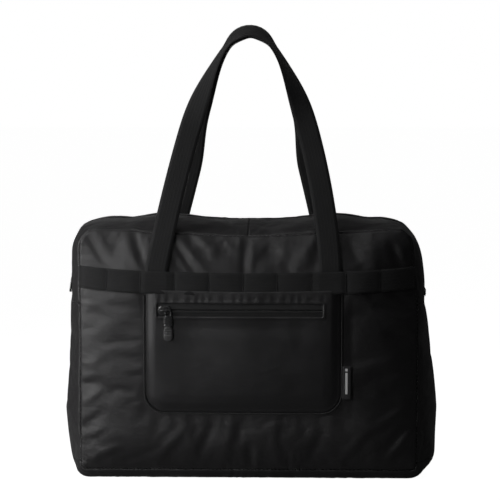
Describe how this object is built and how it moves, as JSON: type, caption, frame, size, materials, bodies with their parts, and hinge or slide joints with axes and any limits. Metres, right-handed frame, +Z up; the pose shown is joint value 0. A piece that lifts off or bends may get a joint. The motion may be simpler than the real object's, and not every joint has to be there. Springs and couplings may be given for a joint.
{
  "type": "weekender bag",
  "caption": "Soft nylon weekender bag, filled and standing, with two webbing handles, a zip over the top and down both sides, and a flat zipped pocket on the front.",
  "frame": {"origin": "middle of the base, on the ground", "axes": "+Z up, -Y out of the front with the pocket, +X to the right seen from the front"},
  "size_m": [0.476, 0.2275, 0.5762],
  "materials": {
    "shell_nylon": "thin ripstop nylon, slightly shiny, crumpled",
    "pocket_nylon": "the same nylon, backed and smoother",
    "thread": "matte polyester thread",
    "webbing": "matte woven webbing",
    "zip_tape": "matte woven zip tape",
    "zip_coil": "nylon coil",
    "black_metal": "gloss black lacquer over die-cast metal",
    "puller_rubber": "satin moulded rubber",
    "binding": "matte grosgrain tape",
    "label": "folded woven label, with a plain light line and no lettering"
  },
  "bodies": {
    "bag": {"back_panel_lower": "shell_nylon", "back_panel_upper": "shell_nylon", "band_back": "webbing", "band_front": "webbing", "band_tacks_back": "thread", "band_tacks_front": "thread", "base_panel": "shell_nylon", "front_panel_lower": "shell_nylon", "front_panel_upper": "shell_nylon", "handle_anchors_back": "webbing", "handle_anchors_front": "webbing", "label_flag": "label", "main_zip_coil_back_sides": "zip_coil", "main_zip_coil_front_sides": "zip_coil", "main_zip_stops": "black_metal", "main_zip_tape_back_sides": "zip_tape", "main_zip_tape_front_sides": "zip_tape", "pocket_panel": "pocket_nylon", "pocket_piping": "binding", "pocket_zip_coil_lower": "zip_coil", "pocket_zip_coil_upper": "zip_coil", "pocket_zip_stops": "black_metal", "pocket_zip_tape_lower": "zip_tape", "pocket_zip_tape_upper": "zip_tape", "seam_binding_back": "binding", "seam_binding_front": "binding", "side_gusset_left": "shell_nylon", "side_gusset_right": "shell_nylon", "zip_end_tabs": "zip_tape", "zip_gusset_back_sides": "shell_nylon", "zip_gusset_front_sides": "shell_nylon"},
    "mouth_front": {"zip_gusset_front_top": "shell_nylon", "main_zip_tape_front_top": "zip_tape", "main_zip_coil_front_top": "zip_coil"},
    "mouth_back": {"zip_gusset_back_top": "shell_nylon", "main_zip_tape_back_top": "zip_tape", "main_zip_coil_back_top": "zip_coil"},
    "handle_front": {"handle_front": "webbing"},
    "handle_back": {"handle_back": "webbing"},
    "main_slider": {"main_slider_body": "black_metal", "main_slider_bridge": "black_metal"},
    "main_puller": {"main_puller_link": "black_metal", "main_puller_grip": "puller_rubber"},
    "pocket_slider": {"pocket_slider_body": "black_metal", "pocket_slider_bridge": "black_metal"},
    "pocket_puller": {"pocket_puller_link": "black_metal", "pocket_puller_grip": "puller_rubber"}
  },
  "joints": [
    {"name": "mouth_front_fold", "type": "hinge", "parent": "bag", "child": "mouth_front", "pos_m": [0, -0.085, 0.315], "axis": [1, 0, 0], "range_deg": [0, 60]},
    {"name": "mouth_back_fold", "type": "hinge", "parent": "bag", "child": "mouth_back", "pos_m": [0, 0.085, 0.315], "axis": [-1, 0, 0], "range_deg": [0, 60]},
    {"name": "handle_front_fold", "type": "hinge", "parent": "bag", "child": "handle_front", "pos_m": [0, -0.1085, 0.2705], "axis": [1, 0, 0], "range_deg": [0, 155]},
    {"name": "handle_back_fold", "type": "hinge", "parent": "bag", "child": "handle_back", "pos_m": [0, 0.1085, 0.2705], "axis": [-1, 0, 0], "range_deg": [0, 155]},
    {"name": "main_zip_slide", "type": "slide", "parent": "bag", "child": "main_slider", "axis": [0, 0, 1], "range_m": [-0.022, 0.013]},
    {"name": "main_puller_flip", "type": "hinge", "parent": "main_slider", "child": "main_puller", "pos_m": [-0.2293, 0, 0.268], "axis": [0, 1, 0], "range_deg": [0, 160]},
    {"name": "pocket_zip_slide", "type": "slide", "parent": "bag", "child": "pocket_slider", "axis": [1, 0, 0], "range_m": [0, 0.178]},
    {"name": "pocket_puller_swing", "type": "hinge", "parent": "pocket_slider", "child": "pocket_puller", "pos_m": [-0.0984, -0.114, 0.22], "axis": [0, -1, 0], "range_deg": [-30, 85]}
  ]
}
